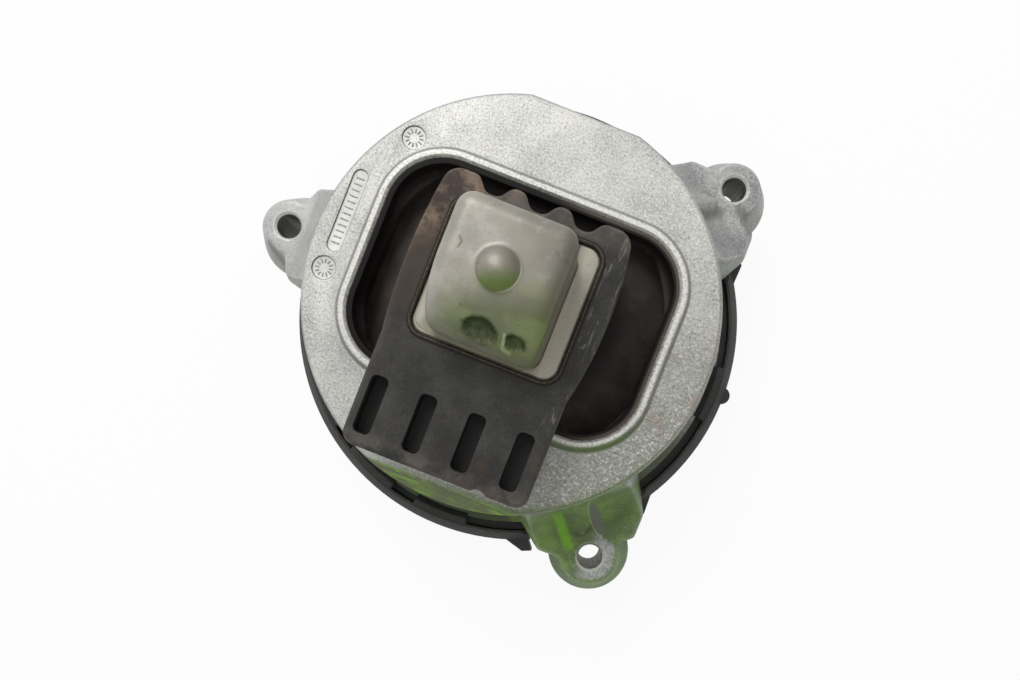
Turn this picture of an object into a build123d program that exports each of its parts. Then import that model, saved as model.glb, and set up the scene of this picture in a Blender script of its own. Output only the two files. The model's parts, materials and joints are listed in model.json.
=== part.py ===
from build123d import *
from math import asin, cos, degrees, radians, sin, sqrt, tan
import os

os.makedirs("parts", exist_ok=True)

# Hydraulic engine mount. Z points up along the axis of the core, the origin lies on
# the flat underside of the lower housing, and X points away from the single ear.
# All sizes are in millimetres.

# Heights above the underside
face_height = 60.0
foot_height = 31.0
ear_seat_height = 21.0

# Upper housing: an aluminium casting with a round face, a window and three ears
ring_radius = 68.0
ring_edge = 1.3
roof_thickness = 9.0
flange_reach = 5.6
flange_thickness = 4.0
housing_wall = 7.5
back_flat_inset = 2.6
back_flat_depth = 17.0
front_bevel_inset = 6.0
front_bevel_depth = 4.5
front_bevel_run = 7.5

window_side_land = 18.6
window_back_land = 31.5
window_front_land = 34.4
window_corner = 19.0
bead_width = 3.3
bead_height = 1.7
bead_edge = 0.9

ear_angle = 51.5
single_ear_overhang = 18.6
paired_ear_overhang = 21.3
ear_hole_radius = 4.2
ear_hole_chamfer = 0.9
boss_radius = 9.3
boss_foot_radius = 15.3
boss_length = 18.0
boss_cone_height = 14.5
boss_edge = 1.0
web_draft = 14.0
web_root_bite = 8.0
web_root_half = 23.5
web_shoulder_reach = 15.0
web_shoulder_half = 18.0
web_wide_root_half = 27.5
web_wide_shoulder_reach = 14.0
web_wide_shoulder_half = 23.5
web_wide_flank_half = 17.5
web_top_drop = 3.5
web_valley_reach = 5.0
web_valley_rise = 7.0
web_toe_reach = 12.5
rib_height = 3.2
rib_half_width = 3.6
rib_draft = 24.0

pad_depth = 0.45
round_pad_radius = 3.9
long_pad_length = 28.0
long_pad_width = 5.0
long_pad_inset = 8.2
long_pad_shift = 8.6
round_pad_insets = [19.5, 7.8]
round_pad_shifts = [38.1, -11.2]

# Core: an aluminium block that stands through the window
plate_rise = 20.0
plate_length = 45.0
plate_width = 41.0
plate_corner = 4.5
plate_thickness = 6.0
plate_edge = 0.6
dome_rise = 25.0
dome_length = 33.6
dome_back = 17.4
dome_front = 19.8
dome_front_radius = 20.0
dome_edge = 5.0
nub_radius = 5.9
nub_height = 3.0
scoop_radius = 4.6
scoop_depth = 2.8
scoop_place = 0.2
scoop_slope = 52.0
side_scoop_radius = 2.8
side_scoop_depth = 1.9
side_scoop_place = 9.9
neck_length = 38.0
neck_width = 34.0
neck_corner = 7.0
core_end_radius = 13.0
core_end_start = 2.0
core_end_depth = 15.5

# Rubber stop buffer round the core's plate, with a tongue over the front of the face
buffer_thickness = 11.0
buffer_lip = 0.6
buffer_lip_width = 1.3
buffer_fit = 0.1
frame_back_margin = 5.8
frame_middle_margin = 8.5
crown_height = 4.2
crown_lobes = 4
crown_reach = 28.6
crown_gap_top = 10.4
crown_gap_floor = 4.2
crown_corner = 5.2
crown_fillet = 3.2
tongue_half_width = 28.8
tongue_front = 57.8
tongue_root = 23.8
tongue_skew = -0.7
tongue_corner = 4.0
buffer_edge = 1.2
slot_count = 4
slot_pitch = 15.1
slot_skew = -1.6
slot_width = 5.4
slot_corner = 1.8
slot_length = 17.6
slot_depth = 5.2
slot_front = 53.8
notch_place = 13.7
notch_width = 5.0
notch_depth = 1.1

# Rubber spring between the core and the upper housing
lining_thickness = 1.8
lining_step = 0.9
lining_skirt = 3.0
spring_collar_radius = 27.0
spring_knee_height = 1.0
spring_trough_depth = 14.5
spring_wall = 10.0
chamber_wall = 12.0
chamber_height = 7.0

# Fluid parts between the rubber spring and the lower housing
insert_thickness = 3.0
insert_inset = 2.2
insert_width = 15.4
nozzle_plate_thickness = 4.5
channel_plate_thickness = 11.5
plate_bore_gap = 0.3
membrane_radius = 29.5
membrane_thickness = 2.4
membrane_play = 0.3
membrane_side_gap = 0.5
flow_gate_count = 4
flow_gate_inner_radius = 9.0
flow_gate_outer_radius = 25.0
flow_gate_angle = 70.0
channel_wall = 9.0
channel_width = 11.0
channel_depth = 8.0
channel_end_wall = 30.0
channel_port = 12.0
bellows_wall = 1.8
bellows_bead_height = 4.0
bellows_bead_width = 8.5
bellows_disc_height = 1.0

# Lower housing: a moulded pot with a collar of snap tabs
pot_floor = 3.0
pot_wall = 2.7
pot_bore_margin = 1.8
pot_ledge_width = 5.3
pot_foot_chamfer = 1.0
pot_flange_thickness = 3.0
vent_radius = 2.0
vent_place = 40.0
collar_gap = 0.8
tab_wall = 2.0
tab_hook_reach = 1.8
tab_hook_height = 1.5
tab_angle = 15.0
tab_pitch = 22.5
collar_slot = 1.0
rim_reach = 4.0
rim_wall = 2.2
rim_flat_inset = 2.6
rim_bottom_height = 22.0
rim_top_height = 27.6
collar_top_height = 31.0
collar_land = 0.9
ear_pocket_half = 19.5
ear_clearance = 1.2
horn_places = [(ear_angle, -1), (-ear_angle, 1), (-ear_angle, -1)]
horn_root_angle = 20.2
horn_tip_reach = 4.2
horn_outer_half = 23.8
horn_inner_half = 20.3
index_nub_reach = 2.2
index_nub_radius = 3.2
index_nub_place = 1.8

# Sizes that follow from the ones above
window_half_length = ring_radius - window_side_land
window_back = ring_radius - window_back_land
window_front = ring_radius - window_front_land
single_ear_reach = ring_radius + single_ear_overhang
paired_ear_reach = ring_radius + paired_ear_overhang
boss_top_height = ear_seat_height + boss_length
cavity_radius = ring_radius - housing_wall
back_flat = ring_radius - back_flat_inset
front_bevel_start = ring_radius - front_bevel_inset
flange_radius = ring_radius + flange_reach
flange_top = foot_height + flange_thickness
roof_under = face_height - roof_thickness
plate_top = face_height + plate_rise
plate_under = plate_top - plate_thickness
dome_top = plate_top + dome_rise
buffer_bottom = plate_top - buffer_thickness
frame_back_half = plate_length / 2 + frame_back_margin
frame_middle_half = plate_length / 2 + frame_middle_margin
core_end_height = face_height - core_end_depth
core_end_start_height = face_height - core_end_start
spring_wall_radius = cavity_radius - spring_wall
chamber_radius = cavity_radius - chamber_wall
insert_bottom = foot_height - insert_thickness
insert_radius = flange_radius - insert_inset
insert_bore_radius = insert_radius - insert_width
nozzle_bottom = insert_bottom - nozzle_plate_thickness
channel_bottom = nozzle_bottom - channel_plate_thickness
ledge_height = channel_bottom - bellows_bead_height
pot_bore_radius = cavity_radius + pot_bore_margin
stack_radius = pot_bore_radius - plate_bore_gap
pot_radius = pot_bore_radius + pot_wall
ledge_radius = pot_bore_radius - pot_ledge_width
channel_outer_radius = stack_radius - channel_wall
channel_inner_radius = channel_outer_radius - channel_width
tab_inner_radius = flange_radius + collar_gap
tab_outer_radius = tab_inner_radius + tab_wall
collar_radius = tab_outer_radius + collar_slot
rim_radius = collar_radius + rim_reach
rim_flat = rim_radius - rim_flat_inset
far = 4 * ring_radius
standing = (Align.CENTER, Align.CENTER, Align.MIN)


def face_of(points, plane=Plane.XY):
    """Flat face inside the closed line through the points."""
    return plane * make_face(Polyline(*points, close=True))


def turned(points):
    """Solid of revolution about Z from a closed section of (radius, height) points."""
    return revolve(face_of(points, Plane.XZ), Axis.Z)


def raised(outline, bottom, top):
    """Upright prism over a flat outline, between two heights."""
    return Pos(0, 0, bottom) * extrude(outline, top - bottom, dir=(0, 0, 1))


def disc(radius, bottom, top):
    """Upright cylinder on the axis between two heights."""
    return raised(Circle(radius), bottom, top)


def window_outline(growth):
    """Window outline, grown evenly by the given distance."""
    length = 2 * (window_half_length + growth)
    width = window_back + window_front + 2 * growth
    middle = (window_back - window_front) / 2
    return Pos(0, middle) * RectangleRounded(length, width, window_corner + growth)


def at_ears(build_single, build_paired):
    """The single ear's shape at -X, and the paired ear's shape at both sides of +X."""
    paired = build_paired(paired_ear_reach)
    upper = Rot(0, 0, ear_angle) * paired
    return [Rot(0, 0, 180) * build_single(single_ear_reach), upper, mirror(upper, Plane.XZ)]


# Upper housing


def narrow_side(reach):
    """One edge of a web in plan, from the wall to the boss."""
    return [
        (ring_radius - web_root_bite, web_root_half),
        (ring_radius + web_shoulder_reach, web_shoulder_half),
        (reach, boss_radius),
    ]


def wide_side(reach):
    """The broader edge that the paired ears have towards +X."""
    return [
        (ring_radius - web_root_bite, web_wide_root_half),
        (ring_radius + web_wide_shoulder_reach, web_wide_shoulder_half),
        (reach, web_wide_flank_half),
    ]


def web_outline(reach, is_paired):
    """Closed plan outline of an ear's web at the height of the wall's foot."""
    left = narrow_side(reach)
    right = wide_side(reach) if is_paired else narrow_side(reach)
    return [(rho, -tau) for rho, tau in right] + left[::-1]


def web_profile(lift, end):
    """Side view of a web, raised by lift: a concave valley from the face down to the boss."""
    start = (ring_radius - ring_edge, face_height - web_top_drop)
    valley = (ring_radius + web_valley_reach, boss_top_height + web_valley_rise + lift)
    toe = (ring_radius + web_toe_reach, boss_top_height + lift)
    root = ring_radius - web_root_bite
    edge = ThreePointArc(start, valley, toe)
    edge += Polyline(toe, (end, toe[1]), (end, foot_height), (root, foot_height), (root, start[1]), start)
    return Plane.XZ * make_face(edge)


def rib(reach):
    """Stiffening rib on the middle of a paired ear's web, with drafted flanks."""
    side = web_profile(rib_height, reach - boss_radius + boss_edge)
    flank = offset(side, -rib_half_width * tan(radians(rib_draft)), kind=Kind.INTERSECTION)
    half = loft([side, Pos(0, -rib_half_width, 0) * flank], ruled=True)
    return half + mirror(half, Plane.XZ)


def boss(reach):
    """Bolt boss: a straight foot with a tapered upper part."""
    cone_bottom = boss_top_height - boss_cone_height
    foot = Pos(reach, 0, 0) * disc(boss_foot_radius, ear_seat_height, cone_bottom)
    cone = Cone(boss_foot_radius, boss_radius, boss_cone_height, align=standing)
    return foot + Pos(reach, 0, cone_bottom) * cone


def ear(reach, is_paired):
    """One ear in its own frame, with its reach along +X."""
    plan = face_of(web_outline(reach, is_paired))
    block = Pos(0, 0, foot_height) * extrude(plan, face_height - foot_height, taper=web_draft)
    web = block & extrude(web_profile(0, far), far, both=True)
    body = web + boss(reach)
    return body + rib(reach) if is_paired else body


def ear_hole(reach):
    """Bolt hole with a chamfered mouth."""
    mouth_radius = ear_hole_radius + ear_hole_chamfer
    mouth = Cone(ear_hole_radius, mouth_radius, ear_hole_chamfer, align=standing)
    hole = disc(ear_hole_radius, ear_seat_height, boss_top_height)
    hole += Pos(0, 0, boss_top_height - ear_hole_chamfer) * mouth
    hole += disc(mouth_radius, boss_top_height, face_height)
    return Pos(reach, 0, 0) * hole


def ring_body():
    """Round face and wall, with the flat at the back and the bevel at the front."""
    body = turned([
        (0, face_height),
        (ring_radius, face_height),
        (ring_radius, flange_top),
        (flange_radius, flange_top),
        (flange_radius, foot_height),
        (0, foot_height),
    ])
    flat = Pos(0, back_flat + far / 2, face_height - back_flat_depth / 2)
    body -= flat * Box(far, far, back_flat_depth)
    bevel = face_of(
        [
            (-front_bevel_start, face_height),
            (-front_bevel_start - front_bevel_run, face_height - front_bevel_depth),
            (-front_bevel_start - front_bevel_run, face_height),
        ],
        Plane.YZ,
    )
    body -= extrude(bevel, far, both=True)
    face_edges = body.faces().sort_by(Axis.Z)[-1].edges()
    return chamfer(face_edges, ring_edge)


def bead():
    """Raised rim round the window."""
    ring = window_outline(bead_width) - window_outline(0)
    solid = raised(ring, face_height, face_height + bead_height)
    crest = solid.faces().sort_by(Axis.Z)[-1].edges()
    return chamfer(crest, bead_edge)


def cast_pads():
    """Shallow recessed fields on the left of the face."""
    place = Pos(long_pad_inset - ring_radius, long_pad_shift)
    pads = [place * Rot(0, 0, 90) * SlotOverall(long_pad_length, long_pad_width)]
    for inset, shift in zip(round_pad_insets, round_pad_shifts):
        pads.append(Pos(inset - ring_radius, shift) * Circle(round_pad_radius))
    return raised(Sketch() + pads, face_height - pad_depth, face_height)


def make_upper_housing():
    body = ring_body()
    for one_ear in at_ears(lambda reach: ear(reach, False), lambda reach: ear(reach, True)):
        body += one_ear
    body -= disc(cavity_radius, foot_height, roof_under)
    body -= raised(window_outline(0), roof_under, face_height)
    body += bead()
    body -= cast_pads()
    for hole in at_ears(ear_hole, ear_hole):
        body -= hole
    return body


# Core


def plate_outline(growth):
    """Plan of the core's plate, grown evenly."""
    return RectangleRounded(plate_length + 2 * growth, plate_width + 2 * growth, plate_corner + growth)


def neck_outline(growth):
    """Plan of the core's neck under the plate, grown evenly."""
    return RectangleRounded(neck_length + 2 * growth, neck_width + 2 * growth, neck_corner + growth)


def ball_radius(radius, depth):
    """Radius of the ball whose cap has the given rim radius and depth."""
    return (radius ** 2 + depth ** 2) / (2 * depth)


def scoop(place, radius, depth):
    """Round dent in the dome's curved front."""
    ball = ball_radius(radius, depth)
    reach = dome_front_radius - depth + ball
    forward = reach * sin(radians(scoop_slope)) - dome_front_radius + dome_front
    height = reach * cos(radians(scoop_slope)) - dome_front_radius + dome_top
    return Pos(place, -forward, height) * Sphere(ball)


def make_nub():
    """Low round cap on the dome's top."""
    ball = ball_radius(nub_radius, nub_height)
    cap = Pos(0, 0, dome_top + nub_height - ball) * Sphere(ball)
    return cap & disc(nub_radius, dome_top, dome_top + nub_height)


def make_dome():
    """Block with a broad curve at the front and rounded edges."""
    middle = (dome_back - dome_front) / 2
    block = Pos(0, middle, plate_top) * Box(dome_length, dome_back + dome_front, dome_rise, align=standing)
    top_front = block.edges().filter_by(Axis.X).sort_by(lambda edge: edge.center().Z - edge.center().Y)[-1]
    block = fillet(top_front, dome_front_radius)
    top_back = block.edges().filter_by(Axis.X).sort_by(lambda edge: edge.center().Z + edge.center().Y)[-1]
    side = dome_length / 2 - plate_edge
    floor = plate_top + plate_edge
    side_edges = [edge for edge in block.edges() if abs(edge.center().X) > side and edge.center().Z > floor]
    block = fillet(side_edges + [top_back], dome_edge)
    block -= scoop(scoop_place, scoop_radius, scoop_depth)
    return block - scoop(side_scoop_place, side_scoop_radius, side_scoop_depth)


def make_core():
    plate = raised(plate_outline(0), plate_under, plate_top)
    plate = chamfer(plate.faces().sort_by(Axis.Z)[-1].edges(), plate_edge)
    neck = raised(neck_outline(0), core_end_start_height, plate_under)
    end = disc(core_end_radius, core_end_height, core_end_start_height)
    return plate + make_dome() + make_nub() + neck + end


# Stop buffer


def frame_side(side):
    """One side of the frame in plan, from the tongue's edge to the crown."""
    root = (side * tongue_half_width + tongue_skew, -tongue_root)
    return ThreePointArc(root, (side * frame_middle_half, 0), (side * frame_back_half, crown_reach))


def frame_outline():
    """Plan of the frame round the core's plate, with the crown at the back."""
    valley = crown_reach - crown_height
    right, left = frame_side(1), frame_side(-1)
    crown = [right @ 1]
    for index in range(1, crown_lobes):
        place = frame_back_half - 2 * frame_back_half * index / crown_lobes
        crown += [
            (place + crown_gap_top / 2, crown_reach),
            (place + crown_gap_floor / 2, valley),
            (place - crown_gap_floor / 2, valley),
            (place - crown_gap_top / 2, crown_reach),
        ]
    crown.append(left @ 1)
    root = Line(left @ 0, right @ 0)
    frame = make_face(right + Polyline(*crown) + left + root)
    behind = [corner for corner in frame.vertices() if corner.Y > 0]
    frame = fillet([bend for bend in behind if abs(bend.X) < frame_back_half - crown_corner], crown_fillet)
    ends = [end for end in frame.vertices() if end.Y > valley and abs(end.X) > frame_back_half - crown_corner]
    return fillet(ends, crown_corner)


def tongue_outline():
    """Plan of the tongue, with the notch in its front edge."""
    length = tongue_front - tongue_root + tongue_corner
    middle = -tongue_front + length / 2
    body = Pos(tongue_skew, middle) * RectangleRounded(2 * tongue_half_width, length, tongue_corner)
    notch_radius = (notch_width ** 2 / 4 + notch_depth ** 2) / (2 * notch_depth)
    return body - Pos(notch_place, notch_depth - notch_radius - tongue_front) * Circle(notch_radius)


def slots():
    """Blind relief slots in the tongue."""
    shapes = Sketch()
    for index in range(slot_count):
        place = (index - (slot_count - 1) / 2) * slot_pitch + slot_skew
        slot = RectangleRounded(slot_width, slot_length, slot_corner)
        shapes += Pos(place, -slot_front + slot_length / 2) * slot
    return raised(shapes, plate_top - slot_depth, plate_top)


def make_stop_buffer():
    outline = frame_outline() + tongue_outline()
    body = raised(outline, buffer_bottom, plate_top)
    body = chamfer(body.faces().sort_by(Axis.Z)[-1].edges(), buffer_edge)
    lip = plate_outline(buffer_lip_width + buffer_fit)
    body += raised(lip, plate_top - buffer_edge, plate_top + buffer_lip)
    body -= raised(plate_outline(buffer_fit), plate_under, plate_top + buffer_lip)
    body -= raised(neck_outline(buffer_fit), buffer_bottom, plate_under)
    return body - slots()


# Rubber spring


def make_rubber_spring(core):
    trough_height = face_height - spring_trough_depth
    body = turned([
        (0, buffer_bottom),
        (spring_collar_radius, buffer_bottom),
        (spring_collar_radius, face_height + spring_knee_height),
        (spring_wall_radius, trough_height),
        (spring_wall_radius, roof_under),
        (cavity_radius, roof_under),
        (cavity_radius, foot_height),
        (chamber_radius, foot_height),
        (chamber_radius, foot_height + chamber_height),
        (0, foot_height + chamber_height),
    ])
    body -= raised(Circle(cavity_radius) - window_outline(0), roof_under, buffer_bottom)
    lining = window_outline(0) - window_outline(-lining_thickness)
    body += raised(lining, roof_under - lining_skirt, face_height + lining_step)
    return body - core


# Fluid parts


def make_spring_insert():
    return turned([
        (insert_bore_radius, insert_bottom),
        (insert_radius, insert_bottom),
        (insert_radius, foot_height),
        (insert_bore_radius, foot_height),
    ])


def ring_sector(inner, outer, start, span, bottom, top):
    """Part of an upright ring, between two radii, two angles and two heights."""
    section = face_of([(inner, bottom), (outer, bottom), (outer, top), (inner, top)], Plane.XZ)
    return revolve(Rot(0, 0, start) * section, Axis.Z, span)


def flow_gates(bottom, top):
    """Ring of wedge-shaped openings above or below the membrane."""
    gates = Part()
    for index in range(flow_gate_count):
        start = 360 / flow_gate_count * index
        gates += ring_sector(
            flow_gate_inner_radius, flow_gate_outer_radius, start, flow_gate_angle, bottom, top
        )
    return gates


def channel_arc(start, span, bottom, top):
    """Part of the ring channel, between two heights."""
    return ring_sector(channel_inner_radius, channel_outer_radius, start, span, bottom, top)


def make_nozzle_plate():
    body = disc(stack_radius, nozzle_bottom, insert_bottom)
    body -= flow_gates(nozzle_bottom, insert_bottom)
    return body - channel_arc(0, channel_port, nozzle_bottom, insert_bottom)


def make_channel_plate():
    body = disc(stack_radius, channel_bottom, nozzle_bottom)
    nest_floor = nozzle_bottom - membrane_thickness - 2 * membrane_play
    body -= disc(membrane_radius + membrane_side_gap, nest_floor, nozzle_bottom)
    body -= flow_gates(channel_bottom, nest_floor)
    channel_floor = nozzle_bottom - channel_depth
    channel_span = 360 - channel_end_wall
    body -= channel_arc(0, channel_span, channel_floor, nozzle_bottom)
    return body - channel_arc(channel_span - channel_port, channel_port, channel_bottom, channel_floor)


def make_membrane():
    top = nozzle_bottom - membrane_play
    return disc(membrane_radius, top - membrane_thickness, top)


def make_bellows():
    """Rubber dish whose bead is clamped under the channel plate."""
    disc_bottom = pot_floor + bellows_disc_height
    disc_top = disc_bottom + bellows_wall
    bead_inner = stack_radius - bellows_bead_width
    return turned([
        (0, disc_bottom),
        (bead_inner + bellows_wall, disc_bottom),
        (bead_inner + bellows_wall, ledge_height),
        (stack_radius, ledge_height),
        (stack_radius, channel_bottom),
        (bead_inner, channel_bottom),
        (bead_inner, disc_top),
        (0, disc_top),
    ])


# Lower housing


def snap_tab():
    """One snap tab at angle zero, hooked over the upper housing's flange."""
    hook_top = flange_top + tab_hook_height
    section = face_of(
        [
            (tab_inner_radius, insert_bottom),
            (tab_outer_radius, insert_bottom),
            (tab_outer_radius, hook_top),
            (tab_inner_radius, hook_top),
            (tab_inner_radius - tab_hook_reach, flange_top),
            (tab_inner_radius, flange_top),
        ],
        Plane.XZ,
    )
    return revolve(Rot(0, 0, -tab_angle / 2) * section, Axis.Z, tab_angle)


def is_free(angle):
    """True where a snap tab clears the webs of all three ears."""
    web_angle = degrees(asin(web_wide_root_half / ring_radius))
    room = web_angle + tab_angle / 2
    return all(abs((angle - centre + 180) % 360 - 180) > room for centre in (180, ear_angle, -ear_angle))


def horn(side):
    """Wall that flares out on one side of an ear's boss."""
    root = radians(horn_root_angle)
    tip_radius = rim_radius + horn_tip_reach
    outer = sqrt(tip_radius ** 2 - horn_outer_half ** 2)
    inner = sqrt(tip_radius ** 2 - horn_inner_half ** 2)
    points = [
        (collar_radius * cos(root), side * collar_radius * sin(root)),
        (rim_radius * cos(root), side * rim_radius * sin(root)),
        (outer, side * horn_outer_half),
        (inner, side * horn_inner_half),
        (collar_radius, side * horn_inner_half),
    ]
    return raised(face_of(points), rim_bottom_height, rim_top_height)


def ear_pocket(reach):
    """Room for an ear's boss in the collar."""
    length = far - collar_radius
    opening = Pos(collar_radius + length / 2, 0) * Rectangle(length, 2 * ear_pocket_half)
    opening += Pos(reach, 0) * Circle(boss_foot_radius + ear_clearance)
    return raised(opening, 0, face_height)


def web_pocket(reach, is_paired):
    """Room for an ear's web above the collar."""
    plan = offset(face_of(web_outline(reach, is_paired)), ear_clearance, kind=Kind.INTERSECTION)
    return raised(plan, foot_height - ear_clearance, face_height)


def make_lower_housing():
    body = turned([
        (0, 0),
        (pot_radius - pot_foot_chamfer, 0),
        (pot_radius, pot_foot_chamfer),
        (pot_radius, insert_bottom - pot_flange_thickness),
        (rim_radius - rim_wall, insert_bottom - pot_flange_thickness),
        (rim_radius - rim_wall, rim_bottom_height),
        (rim_radius, rim_bottom_height),
        (rim_radius, rim_top_height),
        (collar_radius + collar_land, collar_top_height),
        (collar_radius, collar_top_height),
        (collar_radius, insert_bottom),
        (pot_bore_radius, insert_bottom),
        (pot_bore_radius, ledge_height),
        (ledge_radius, ledge_height),
        (ledge_radius, pot_floor),
        (0, pot_floor),
    ])
    body -= Pos(0, rim_flat + far / 2, 0) * Box(far, far, far)
    for angle, side in horn_places:
        body += Rot(0, 0, angle) * horn(side)
    for pocket in at_ears(ear_pocket, ear_pocket):
        body -= pocket
    for pocket in at_ears(lambda reach: web_pocket(reach, False), lambda reach: web_pocket(reach, True)):
        body -= pocket
    tab_count = round(360 / tab_pitch)
    for index in range(tab_count):
        if is_free(index * tab_pitch):
            body += Rot(0, 0, index * tab_pitch) * snap_tab()
    nub_middle = rim_radius + index_nub_reach - index_nub_radius
    nub = Pos(nub_middle, index_nub_place) * Circle(index_nub_radius)
    body += raised(nub, rim_bottom_height, rim_top_height)
    return body - Pos(vent_place, 0) * disc(vent_radius, 0, pot_floor)


core = make_core()
pieces = {
    "upper_housing": make_upper_housing(),
    "core": core,
    "rubber_spring": make_rubber_spring(core),
    "stop_buffer": make_stop_buffer(),
    "spring_insert": make_spring_insert(),
    "nozzle_plate": make_nozzle_plate(),
    "decoupler_membrane": make_membrane(),
    "channel_plate": make_channel_plate(),
    "rolling_bellows": make_bellows(),
    "lower_housing": make_lower_housing(),
}
for name, piece in pieces.items():
    export_step(piece, f"parts/{name}.step")
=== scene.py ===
# %% [markdown]
# # Engine mount
#
# A hydraulic engine mount carries the engine on a cast block that is held in rubber. Its solids come from a
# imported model, and this file gives them their finish: speckled cast metal, worn rubber, moulded plastic,
# soft rounded edges and the details that are too fine for the solids.

# %% Load the frame
import bpy
import bmesh
import json
from contextlib import contextmanager
from functools import reduce
from math import atan2, cos, pi, radians, sin
from mathutils import Matrix, Vector


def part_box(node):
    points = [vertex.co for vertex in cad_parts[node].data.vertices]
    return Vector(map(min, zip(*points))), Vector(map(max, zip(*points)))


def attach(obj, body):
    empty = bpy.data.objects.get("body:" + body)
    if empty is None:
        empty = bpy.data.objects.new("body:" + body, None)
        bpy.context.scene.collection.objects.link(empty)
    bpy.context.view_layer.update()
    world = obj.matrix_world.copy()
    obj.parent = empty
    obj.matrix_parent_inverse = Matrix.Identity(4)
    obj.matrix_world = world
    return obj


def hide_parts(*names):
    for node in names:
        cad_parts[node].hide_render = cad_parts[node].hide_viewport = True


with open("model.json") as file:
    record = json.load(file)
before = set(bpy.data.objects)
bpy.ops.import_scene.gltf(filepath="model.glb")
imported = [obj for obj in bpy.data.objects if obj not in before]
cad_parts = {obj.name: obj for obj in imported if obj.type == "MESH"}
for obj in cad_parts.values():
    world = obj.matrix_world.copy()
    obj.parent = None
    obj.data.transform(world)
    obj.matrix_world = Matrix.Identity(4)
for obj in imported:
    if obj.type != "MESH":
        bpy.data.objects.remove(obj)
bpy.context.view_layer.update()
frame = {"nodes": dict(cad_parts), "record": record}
nodes = frame["nodes"]
millimetre = 0.001
weld_distance = 2e-6
flat_angle = radians(0.6)


def link_piece(name, data):
    """New object round a mesh, a camera or a lamp."""
    piece = bpy.data.objects.new(name, data)
    bpy.context.scene.collection.objects.link(piece)
    return piece


print("nodes in the frame:", sorted(nodes))

# %% [markdown]
# ## Sizes from the frame
#
# Every detail sits on a solid. The bolt holes' places come from the frame's record. What the record can't
# tell, such as the window's corner, is a named size in millimetres, written once and used all through.

# %% Sizes that the details share
face_height = 60.0
plate_top = 80.0
window_half_length = 49.4
window_back = 36.5
window_front = 33.6
window_corner = 19.0
plate_half_length = 22.5
plate_half_width = 20.5
plate_corner = 4.5
tongue_front = 57.8
dome_front = 19.8
dome_top = 105.0
dome_front_radius = 20.0
scoop_slope = radians(52.0)
scoops = [(0.2, 4.6, 2.8), (9.9, 2.8, 1.9)]
nub_radius = 5.9
long_pad = (-59.8, 8.6)
long_pad_half = (2.5, 14.0)
round_pads = [(-48.5, 38.1), (-60.2, -11.2)]
round_pad_radius = 3.9
ring_radius = 68.0
flange_radius = 73.6
flange_top = 35.0
foot_height = 31.0
boss_top = 39.0
hole_radius = 4.2
front_way = Vector((0.3665, -0.930, 0.0))
right_way = Vector((0.930, 0.3665, 0.0))
mounts = {mount["name"]: mount for mount in frame["record"]["mounts"]}
ear_mounts = ["single_ear_hole", "left_ear_hole", "right_ear_hole"]
ear_places = [Vector(mounts[name]["pos_m"]) / millimetre for name in ear_mounts]
green_ear = ear_places[2]
front_ear_way = Vector((green_ear.x, green_ear.y, 0.0)).normalized()
front_ear_side = Vector((-front_ear_way.y, front_ear_way.x, 0.0))
ear_shade_strokes = [
    ([(46.5, 52.5), (54.0, 60.5)], 3.4),
    ([(60.0, 63.6), (66.3, 58.2)], 3.0),
    ([(-90.6, -8.4), (-87.0, -11.4)], 2.4),
]
hook_scratch = [(-11.7, 4.05), (-10.7, 3.1), (-11.1, 1.4)]
foot_chip = [(6.85, -14.1), (7.0, -17.4), (9.2, -17.8)]
core_low, core_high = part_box("core")
print("core reaches from", [round(v / millimetre, 1) for v in core_low], "to",
      [round(v / millimetre, 1) for v in core_high], "mm")

# %% [markdown]
# ## The camera
#
# The photograph looks straight down on the face. Parts that lie on one axis, such as the nub, the dome and
# the black rim, are shifted against each other, and that shift gives the camera's height. The picture was
# cropped off centre, so the lens is shifted and not tilted: a tilted camera would make the face an oval.

# %% Camera
photo_width = 1020
photo_height = 680
axis_pixel = (560.0, 426.0)
focal_pixels = 625.0
camera_place = Vector((28.8, -30.7, 260.0)) * millimetre
camera_turn = radians(21.5)
sensor_width = 36.0

lens = bpy.data.cameras.new("photo_camera")
lens.sensor_fit = "HORIZONTAL"
lens.sensor_width = sensor_width
lens.lens = sensor_width * focal_pixels / photo_width
lens.shift_x = (photo_width / 2 - axis_pixel[0]) / photo_width
lens.shift_y = (axis_pixel[1] - photo_height / 2) / photo_width
lens.clip_start = 0.01
camera = link_piece("photo_camera", lens)
camera.matrix_world = Matrix.Translation(camera_place) @ Matrix.Rotation(camera_turn, 4, "Z")
bpy.context.scene.camera = camera
print("lens", round(lens.lens, 2), "mm, shift", round(lens.shift_x, 3), round(lens.shift_y, 3))

# %% [markdown]
# ## Writing a finish
#
# A shader is maths on positions and noises, so it reads best as plain expressions. A Wire stands for one
# output of a node. Adding wires adds the Math node that does it, and every other kind of node comes from
# Finish.node. Finish.paint lays one colour over the ones before it, like a thin coat.

# %% Wires and finishes
class Wire:
    """One output of a shader node, for use in expressions."""

    def __init__(self, finish, socket):
        self.finish = finish
        self.socket = socket

    def maths(self, operation, first, second=0.0):
        return self.finish.node("Math", {"operation": operation}, {0: first, 1: second})

    def __add__(self, other):
        return self.maths("ADD", self, other)

    __radd__ = __add__

    def __sub__(self, other):
        return self.maths("SUBTRACT", self, other)

    def __rsub__(self, other):
        return self.maths("SUBTRACT", other, self)

    def __mul__(self, other):
        return self.maths("MULTIPLY", self, other)

    __rmul__ = __mul__

    def __abs__(self):
        return self.maths("ABSOLUTE", self)

    def above(self, floor):
        return self.maths("MAXIMUM", self, floor)

    def below(self, ceiling):
        return self.maths("MINIMUM", self, ceiling)

    def root(self):
        return self.maths("SQRT", self)

    def rise(self, low, high):
        """Smooth mask: 0 under low and 1 over high, or turned round if low is the larger."""
        return self.finish.node("MapRange", {"interpolation_type": "SMOOTHSTEP"}, {
            "Value": self, "From Min": low, "From Max": high
        })


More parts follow.
